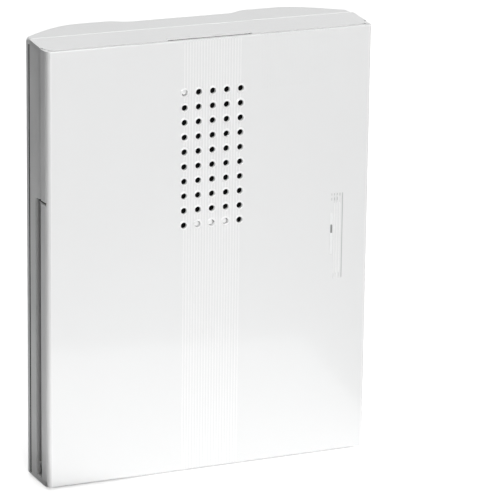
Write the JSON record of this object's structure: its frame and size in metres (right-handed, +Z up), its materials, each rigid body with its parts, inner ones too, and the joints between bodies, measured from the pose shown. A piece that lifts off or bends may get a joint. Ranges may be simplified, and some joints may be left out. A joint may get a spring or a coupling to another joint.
{
  "type": "doorbell chime box",
  "caption": "Wall-hung wireless door chime: gloss front plate with sound holes on a two-lobed white case, with cells, loudspeaker and receiver board inside.",
  "frame": {"origin": "centre of the bounding box's bottom face: under the middle of the case", "axes": "+X to the right seen from the room, +Y into the wall, +Z up; the front plate faces -Y"},
  "size_m": [0.1394, 0.038, 0.1804],
  "materials": {
    "gloss_plate": "high gloss white moulded plastic",
    "shell_plastic": "fine spark-eroded matt white",
    "cover_plastic": "fine spark-eroded matt white",
    "clear_guide": "clear frosted acrylic",
    "foam_tape": "white closed-cell foam tape",
    "black_cloth": "thin black acoustic cloth",
    "gasket_foam": "black open-cell foam",
    "cell_jacket": "dark printed jacket without print, bright nub",
    "spring_steel": "bright nickel-plated spring wire",
    "contact_steel": "nickel-plated sheet",
    "screw_steel": "zinc-plated",
    "speaker_steel": "zinc-plated pressed steel",
    "ferrite": "dark sintered ferrite",
    "cone_paper": "black pressed paper",
    "roll_rubber": "black rolled edge",
    "coil_copper": "enamelled copper wire",
    "board_laminate": "green solder mask",
    "terminal_laminate": "brown phenolic laminate",
    "chip_black": "black epoxy",
    "tin_can": "tinned steel",
    "capacitor_sleeve": "dark blue shrink sleeve",
    "switch_black": "black nylon",
    "button_grey": "mid grey moulding",
    "lamp_lens": "tinted epoxy lens",
    "wire_black": "black sleeve",
    "wire_red": "red sleeve",
    "wire_white": "white sleeve",
    "pin_steel": "tinned pins"
  },
  "bodies": {
    "base": {"front_housing": "shell_plastic", "rear_housing": "shell_plastic", "housing_screws": "screw_steel", "battery_cell_left_1": "cell_jacket", "battery_cell_left_2": "cell_jacket", "battery_cell_right_1": "cell_jacket", "battery_cell_right_2": "cell_jacket", "battery_springs": "spring_steel", "spring_plates": "contact_steel", "contact_plates": "contact_steel", "link_strap": "contact_steel", "sound_cloth": "black_cloth", "speaker_gasket": "gasket_foam", "speaker_frame": "speaker_steel", "speaker_top_plate": "speaker_steel", "speaker_magnet": "ferrite", "speaker_yoke": "speaker_steel", "speaker_surround": "roll_rubber", "speaker_clips": "speaker_steel", "speaker_screws": "screw_steel", "speaker_terminal": "terminal_laminate", "circuit_board": "board_laminate", "board_screws": "screw_steel", "indicator_lamp": "lamp_lens", "tune_switch": "switch_black", "pair_switch": "switch_black", "volume_switch": "switch_black", "receiver_module": "board_laminate", "module_pins": "pin_steel", "shield_can": "tin_can", "sound_chip": "chip_black", "small_chips": "chip_black", "capacitors": "capacitor_sleeve", "crystal_can": "tin_can", "battery_lead_negative": "wire_black", "battery_lead_positive": "wire_red", "speaker_leads": "wire_black", "aerial": "wire_white"},
    "cover": {"front_plate": "gloss_plate", "plate_pads": "foam_tape", "front_cover": "cover_plastic", "light_guide": "clear_guide"},
    "tune_button": {"tune_button": "button_grey"},
    "pair_button": {"pair_button": "button_grey"},
    "volume_slider": {"volume_slider": "button_grey"},
    "speaker_cone": {"speaker_cone": "cone_paper", "voice_coil": "coil_copper", "dust_cap": "cone_paper"}
  },
  "joints": [
    {"name": "cover_pull", "type": "slide", "parent": "base", "child": "cover", "axis": [0, -1, 0], "range_m": [0, 0.03]},
    {"name": "tune_press", "type": "slide", "parent": "base", "child": "tune_button", "axis": [0, 1, 0], "range_m": [0, 0.0005], "stiffness_N_per_m": 300, "springref_m": -0.001},
    {"name": "pair_press", "type": "slide", "parent": "base", "child": "pair_button", "axis": [0, 1, 0], "range_m": [0, 0.0005], "stiffness_N_per_m": 300, "springref_m": -0.001},
    {"name": "volume_slide", "type": "slide", "parent": "base", "child": "volume_slider", "axis": [1, 0, 0], "range_m": [-0.002, 0.002]},
    {"name": "cone_stroke", "type": "slide", "parent": "base", "child": "speaker_cone", "axis": [0, 1, 0], "range_m": [-0.0005, 0.0005], "stiffness_N_per_m": 1000}
  ]
}
